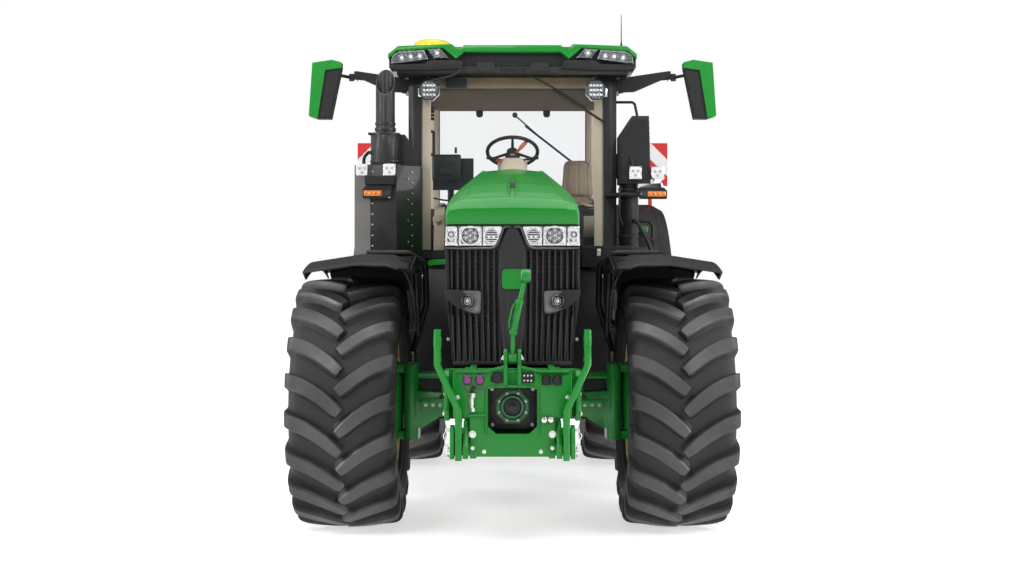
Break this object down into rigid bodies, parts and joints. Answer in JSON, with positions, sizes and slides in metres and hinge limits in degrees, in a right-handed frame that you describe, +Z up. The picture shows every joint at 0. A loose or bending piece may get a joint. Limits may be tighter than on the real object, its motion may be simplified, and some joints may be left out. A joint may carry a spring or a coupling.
{
  "type": "farm tractor",
  "caption": "Row-crop farm tractor with a glazed cab, front and rear linkages, steered front axle and large lugged tyres.",
  "frame": {"origin": "on the ground under the middle of the overall length and width", "axes": "+Z up, the tractor faces -Y, +X to its left side"},
  "size_m": [2.866, 5.19, 3.4996],
  "materials": {
    "black_paint": "satin",
    "black_plastic": "matte",
    "glass": "clear",
    "green_paint": "gloss",
    "interior_plastic": "matte",
    "lamp_glass": "clear",
    "red_white": "matte",
    "steel": "satin",
    "tyre": "matte",
    "upholstery": "matte",
    "yellow_paint": "gloss"
  },
  "bodies": {
    "chassis": {"aftertreatment_box": "black_paint", "cab_body": "black_plastic", "cab_frame": "black_plastic", "cab_lamps": "lamp_glass", "cab_steps": "black_plastic", "cab_windows": "glass", "chassis_frame": "green_paint", "cooling_pack": "black_paint", "drawbar": "green_paint", "engine_block": "green_paint", "exhaust_stack": "black_paint", "front_axle": "green_paint", "front_hitch_frame": "green_paint", "front_pto": "black_paint", "instructor_seat": "upholstery", "intake_housing": "black_plastic", "mirrors": "black_plastic", "operator_seat": "upholstery", "rear_axle": "green_paint", "rear_fenders": "black_plastic", "rear_hitch_frame": "green_paint", "rear_pto": "black_paint", "roof": "green_paint", "roof_fittings": "yellow_paint", "roof_underside": "black_plastic", "side_console": "black_plastic", "side_tanks": "black_plastic", "side_window_frame": "black_plastic", "steering_console": "interior_plastic", "steering_wheel": "black_plastic", "transmission": "green_paint", "warning_boards": "red_white", "windshield": "glass"},
    "hood": {"hood_shell": "green_paint", "grille": "black_plastic", "headlamps": "lamp_glass", "hood_side_screens": "black_plastic"},
    "door": {"door_frame": "black_plastic", "door_glass": "glass"},
    "knuckle_left": {"knuckle_left": "green_paint", "front_fender_left": "black_plastic"},
    "knuckle_right": {"knuckle_right": "green_paint", "front_fender_right": "black_plastic"},
    "wheel_front_left": {"front_tyre_left": "tyre", "front_rim_left": "yellow_paint"},
    "wheel_front_right": {"front_tyre_right": "tyre", "front_rim_right": "yellow_paint"},
    "wheel_rear_left": {"rear_tyre_left": "tyre", "rear_rim_left": "yellow_paint"},
    "wheel_rear_right": {"rear_tyre_right": "tyre", "rear_rim_right": "yellow_paint"},
    "front_lift_arms": {"front_lift_arms": "green_paint"},
    "front_link_left": {"front_link_left": "green_paint"},
    "front_link_right": {"front_link_right": "green_paint"},
    "front_top_link": {"front_top_link": "green_paint"},
    "rear_rocker": {"rear_rocker": "green_paint"},
    "rear_lift_rods": {"rear_lift_rods": "steel"},
    "rear_lower_links": {"rear_lower_links": "green_paint"},
    "rear_top_link": {"rear_top_link": "green_paint"}
  },
  "joints": [
    {"name": "hood_hinge", "type": "hinge", "parent": "chassis", "child": "hood", "pos_m": [0, -0.455, 2.13], "axis": [-1, 0, 0], "range_deg": [0, 50]},
    {"name": "door_hinge", "type": "hinge", "parent": "chassis", "child": "door", "pos_m": [0.785, 0.645, 2.2], "axis": [0, 0, 1], "range_deg": [0, 70]},
    {"name": "steer_left", "type": "hinge", "parent": "chassis", "child": "knuckle_left", "pos_m": [0.78, -1.505, 0.79], "axis": [0, 0, 1], "range_deg": [-25, 25]},
    {"name": "steer_right", "type": "hinge", "parent": "chassis", "child": "knuckle_right", "pos_m": [-0.78, -1.505, 0.79], "axis": [0, 0, 1], "range_deg": [-25, 25]},
    {"name": "roll_front_left", "type": "hinge", "parent": "knuckle_left", "child": "wheel_front_left", "pos_m": [1.015, -1.505, 0.79], "axis": [1, 0, 0], "continuous": true},
    {"name": "roll_front_right", "type": "hinge", "parent": "knuckle_right", "child": "wheel_front_right", "pos_m": [-1.015, -1.505, 0.79], "axis": [1, 0, 0], "continuous": true},
    {"name": "roll_rear_left", "type": "hinge", "parent": "chassis", "child": "wheel_rear_left", "pos_m": [0.945, 1.42, 1.01], "axis": [1, 0, 0], "continuous": true},
    {"name": "roll_rear_right", "type": "hinge", "parent": "chassis", "child": "wheel_rear_right", "pos_m": [-0.945, 1.42, 1.01], "axis": [1, 0, 0], "continuous": true},
    {"name": "front_lift", "type": "hinge", "parent": "chassis", "child": "front_lift_arms", "pos_m": [0, -2.405, 0.66], "axis": [1, 0, 0], "range_deg": [0, 28]},
    {"name": "front_fold_left", "type": "hinge", "parent": "front_lift_arms", "child": "front_link_left", "pos_m": [0.302, -2.55, 0.605], "axis": [1, 0, 0], "range_deg": [0, 95]},
    {"name": "front_fold_right", "type": "hinge", "parent": "front_lift_arms", "child": "front_link_right", "pos_m": [-0.302, -2.55, 0.605], "axis": [1, 0, 0], "range_deg": [0, 95]},
    {"name": "front_top_pivot", "type": "hinge", "parent": "chassis", "child": "front_top_link", "pos_m": [0, -2.43, 1.12], "axis": [1, 0, 0], "range_deg": [0, 95]},
    {"name": "rear_lift", "type": "hinge", "parent": "chassis", "child": "rear_rocker", "pos_m": [0, 1.65, 1.375], "axis": [1, 0, 0], "range_deg": [-22, 24]},
    {"name": "rear_rod_pivot", "type": "hinge", "parent": "rear_rocker", "child": "rear_lift_rods", "pos_m": [0, 2.03, 1.4], "axis": [1, 0, 0], "range_deg": [-30, 30]},
    {"name": "rear_link_pivot", "type": "hinge", "parent": "chassis", "child": "rear_lower_links", "pos_m": [0, 1.69, 0.6], "axis": [1, 0, 0], "range_deg": [-26, 26]},
    {"name": "rear_top_pivot", "type": "hinge", "parent": "chassis", "child": "rear_top_link", "pos_m": [0, 1.8, 1.15], "axis": [1, 0, 0], "range_deg": [-30, 50]}
  ],
  "couplings": [
    {"joint": "steer_right", "follows": "steer_left", "ratio": 1},
    {"joint": "rear_rod_pivot", "follows": "rear_lift", "ratio": -1},
    {"joint": "rear_link_pivot", "follows": "rear_lift", "ratio": 1}
  ]
}
